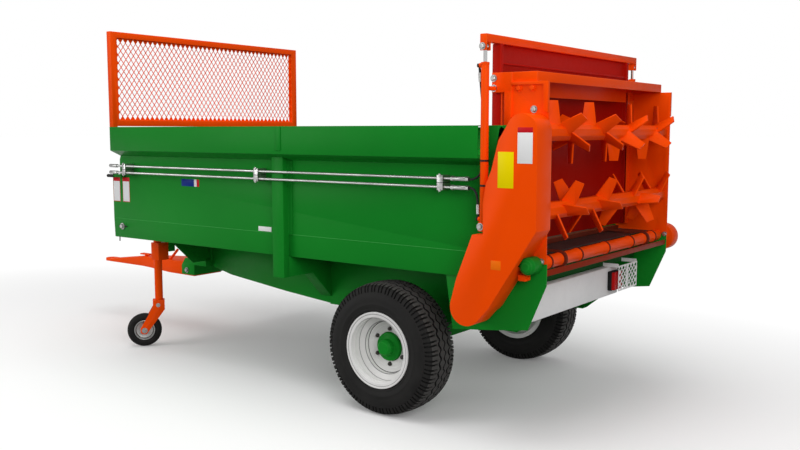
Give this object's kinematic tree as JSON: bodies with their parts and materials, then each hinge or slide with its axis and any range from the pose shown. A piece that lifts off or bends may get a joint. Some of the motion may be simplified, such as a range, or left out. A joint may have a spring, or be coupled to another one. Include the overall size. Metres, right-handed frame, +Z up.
{
  "type": "manure spreader",
  "caption": "Single-axle towed manure spreader with an open load box, guillotine tail door, two horizontal beaters, mesh headboard frame and a jack with a caster wheel.",
  "frame": {"origin": "on the ground, at the middle of the overall length and on the centre plane", "axes": "+X forward towards the drawbar eye, +Y to the left side, +Z up"},
  "size_m": [4.8869, 1.938, 2.2969],
  "materials": {
    "green_paint": "glossy green paint on sheet steel",
    "orange_paint": "glossy orange paint",
    "white_paint": "pale grey wheel paint",
    "panel_white": "pale panel with a satin finish",
    "tyre_rubber": "black rubber, worn satin",
    "hose_rubber": "black rubber hose",
    "zinc": "zinc-plated steel tube",
    "chrome_rod": "polished piston rod",
    "bare_steel": "bare machined steel",
    "dark_steel": "dark oiled steel",
    "lamp_red": "red lamp glass in a dark housing"
  },
  "bodies": {
    "root": {"axle": "green_paint", "bearings": "dark_steel", "chain_guard": "orange_paint", "chassis_rails": "green_paint", "chassis_ties": "green_paint", "conveyor_chain": "dark_steel", "conveyor_gearbox": "orange_paint", "conveyor_idler": "dark_steel", "conveyor_roller": "orange_paint", "cylinder_feet": "orange_paint", "cylinders": "orange_paint", "door_guides": "orange_paint", "drawbar": "orange_paint", "drive_tube": "green_paint", "fence_frame": "orange_paint", "fence_mesh": "orange_paint", "floor": "dark_steel", "floor_bearers": "green_paint", "gearbox": "dark_steel", "headboard": "green_paint", "headstock": "green_paint", "hood": "orange_paint", "hydraulic_hoses": "hose_rubber", "hydraulic_pipes": "zinc", "jack_leg": "orange_paint", "jack_mount": "orange_paint", "lamp_guards": "panel_white", "lamps": "lamp_red", "lights_panel": "panel_white", "nose_plate_left": "green_paint", "nose_plate_right": "green_paint", "outriggers": "green_paint", "pillars": "green_paint", "pipe_clamps": "zinc", "rear_crossmember": "green_paint", "roller_cap": "green_paint", "side_frame_left": "orange_paint", "side_frame_right": "orange_paint", "side_lower_left": "green_paint", "side_lower_right": "green_paint", "side_upper_left": "green_paint", "side_upper_right": "green_paint", "skirts": "green_paint", "tail_lip": "orange_paint"},
    "wheel_left": {"tyre_left": "tyre_rubber", "rim_left": "white_paint", "hub_left": "green_paint"},
    "wheel_right": {"tyre_right": "tyre_rubber", "rim_right": "white_paint", "hub_right": "green_paint"},
    "jack_caster": {"jack_fork": "orange_paint"},
    "jack_wheel": {"jack_tyre": "tyre_rubber", "jack_rim": "zinc"},
    "tail_door": {"door": "orange_paint", "door_beam": "orange_paint", "cylinder_rods": "chrome_rod"},
    "upper_beater": {"beater_upper": "orange_paint"},
    "lower_beater": {"beater_lower": "orange_paint"},
    "layshaft": {"cross_shaft": "bare_steel"},
    "input_shaft": {"drive_shaft": "bare_steel"}
  },
  "joints": [
    {"name": "wheel_left_spin", "type": "hinge", "parent": "root", "child": "wheel_left", "pos_m": [-1.3265, 0.774, 0.38], "axis": [0, 1, 0], "continuous": true},
    {"name": "wheel_right_spin", "type": "hinge", "parent": "root", "child": "wheel_right", "pos_m": [-1.3265, -0.774, 0.38], "axis": [0, 1, 0], "continuous": true},
    {"name": "jack_swivel", "type": "hinge", "parent": "root", "child": "jack_caster", "pos_m": [1.0405, 0.548, 0.3], "axis": [0, 0, 1], "continuous": true},
    {"name": "jack_wheel_spin", "type": "hinge", "parent": "jack_caster", "child": "jack_wheel", "pos_m": [1.10822, 0.63468, 0.125], "axis": [-0.788, 0.6157, 0], "continuous": true},
    {"name": "door_lift", "type": "slide", "parent": "root", "child": "tail_door", "axis": [0, 0, 1], "range_m": [0, 0.6]},
    {"name": "upper_beater_spin", "type": "hinge", "parent": "root", "child": "upper_beater", "pos_m": [-2.2815, 0, 1.6], "axis": [0, 1, 0], "continuous": true},
    {"name": "lower_beater_spin", "type": "hinge", "parent": "root", "child": "lower_beater", "pos_m": [-2.2815, 0, 1.205], "axis": [0, 1, 0], "continuous": true},
    {"name": "layshaft_spin", "type": "hinge", "parent": "root", "child": "layshaft", "pos_m": [-1.9465, 0, 0.711], "axis": [0, 1, 0], "continuous": true},
    {"name": "input_shaft_spin", "type": "hinge", "parent": "root", "child": "input_shaft", "pos_m": [-1.3265, 0, 0.711], "axis": [1, 0, 0], "continuous": true}
  ],
  "couplings": [
    {"joint": "lower_beater_spin", "follows": "upper_beater_spin", "ratio": 1},
    {"joint": "layshaft_spin", "follows": "upper_beater_spin", "ratio": 1.25},
    {"joint": "input_shaft_spin", "follows": "upper_beater_spin", "ratio": 1.25}
  ]
}
